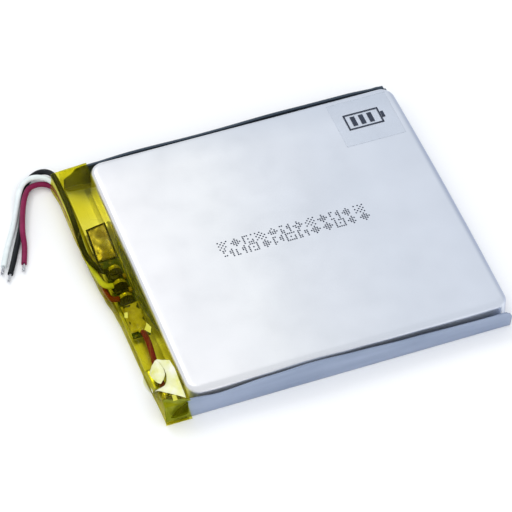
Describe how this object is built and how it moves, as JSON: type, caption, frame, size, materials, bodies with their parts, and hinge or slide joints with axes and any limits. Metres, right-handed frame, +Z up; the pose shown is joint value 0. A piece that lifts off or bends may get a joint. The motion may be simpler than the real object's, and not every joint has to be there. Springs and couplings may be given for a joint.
{
  "type": "pouch battery cell",
  "caption": "Flat rectangular lithium pouch cell, its terrace end wrapped in clear yellow tape over a small circuit board, with three insulated leads ending in tinned tips.",
  "frame": {"origin": "centre of the pouch's flat underside, on the surface that it lies on", "axes": "+Z up through the thickness; +X along the length, from the taped terrace end to the folded end; +Y across the width, towards the corner where the leads come out"},
  "size_m": [0.0858, 0.0661, 0.006],
  "materials": {
    "laminate": "satin nylon-faced aluminium laminate",
    "anode": "graphite coating on copper foil",
    "cathode": "dark oxide coating on aluminium foil",
    "separator": "microporous film",
    "strap": "polyester tape",
    "aluminium_foil": "bare foil",
    "copper_foil": "bare copper foil",
    "aluminium_tab": "rolled strip",
    "nickel": "nickel strip",
    "seal_film": "polypropylene film",
    "foam": "closed-cell foam with adhesive",
    "card": "pale insulating card",
    "board": "solder mask over glass laminate",
    "chip_package": "moulded epoxy",
    "resistor": "glazed chip",
    "capacitor": "fired chip",
    "solder": "bright tin solder",
    "red_insulation": "soft satin insulation, dark crimson",
    "white_insulation": "soft satin insulation, white",
    "black_insulation": "soft satin insulation, black",
    "tinned_strand": "tinned copper strands",
    "tape": "glossy transparent lemon-yellow film",
    "label": null
  },
  "bodies": {
    "root": {"pouch_cup_half": "laminate", "pouch_flat_half": "laminate", "anode_plates": "anode", "cathode_plates": "cathode", "separator_z_fold": "separator", "stack_tape_straps": "strap", "positive_foil_bundle": "aluminium_foil", "negative_foil_bundle": "copper_foil", "positive_tab": "aluminium_tab", "negative_tab": "nickel", "positive_tab_seal_films": "seal_film", "negative_tab_seal_films": "seal_film", "terrace_foam_strip": "foam", "insulating_card": "card", "circuit_board": "board", "negative_pad_strip": "nickel", "positive_pad_strip": "nickel", "protection_ic": "chip_package", "dual_mosfet": "chip_package", "chip_resistors": "resistor", "chip_capacitors": "capacitor", "thermistor": "resistor", "lead_solder_joints": "solder", "jumper_solder_joints": "solder", "jumper_red": "red_insulation", "lead_red": "red_insulation", "lead_white": "white_insulation", "lead_black": "black_insulation", "lead_red_tip": "tinned_strand", "lead_white_tip": "tinned_strand", "lead_black_tip": "tinned_strand", "end_tape_wrap": "tape", "end_tape_overlap": "tape", "clear_label": "label"}
  },
  "joints": []
}
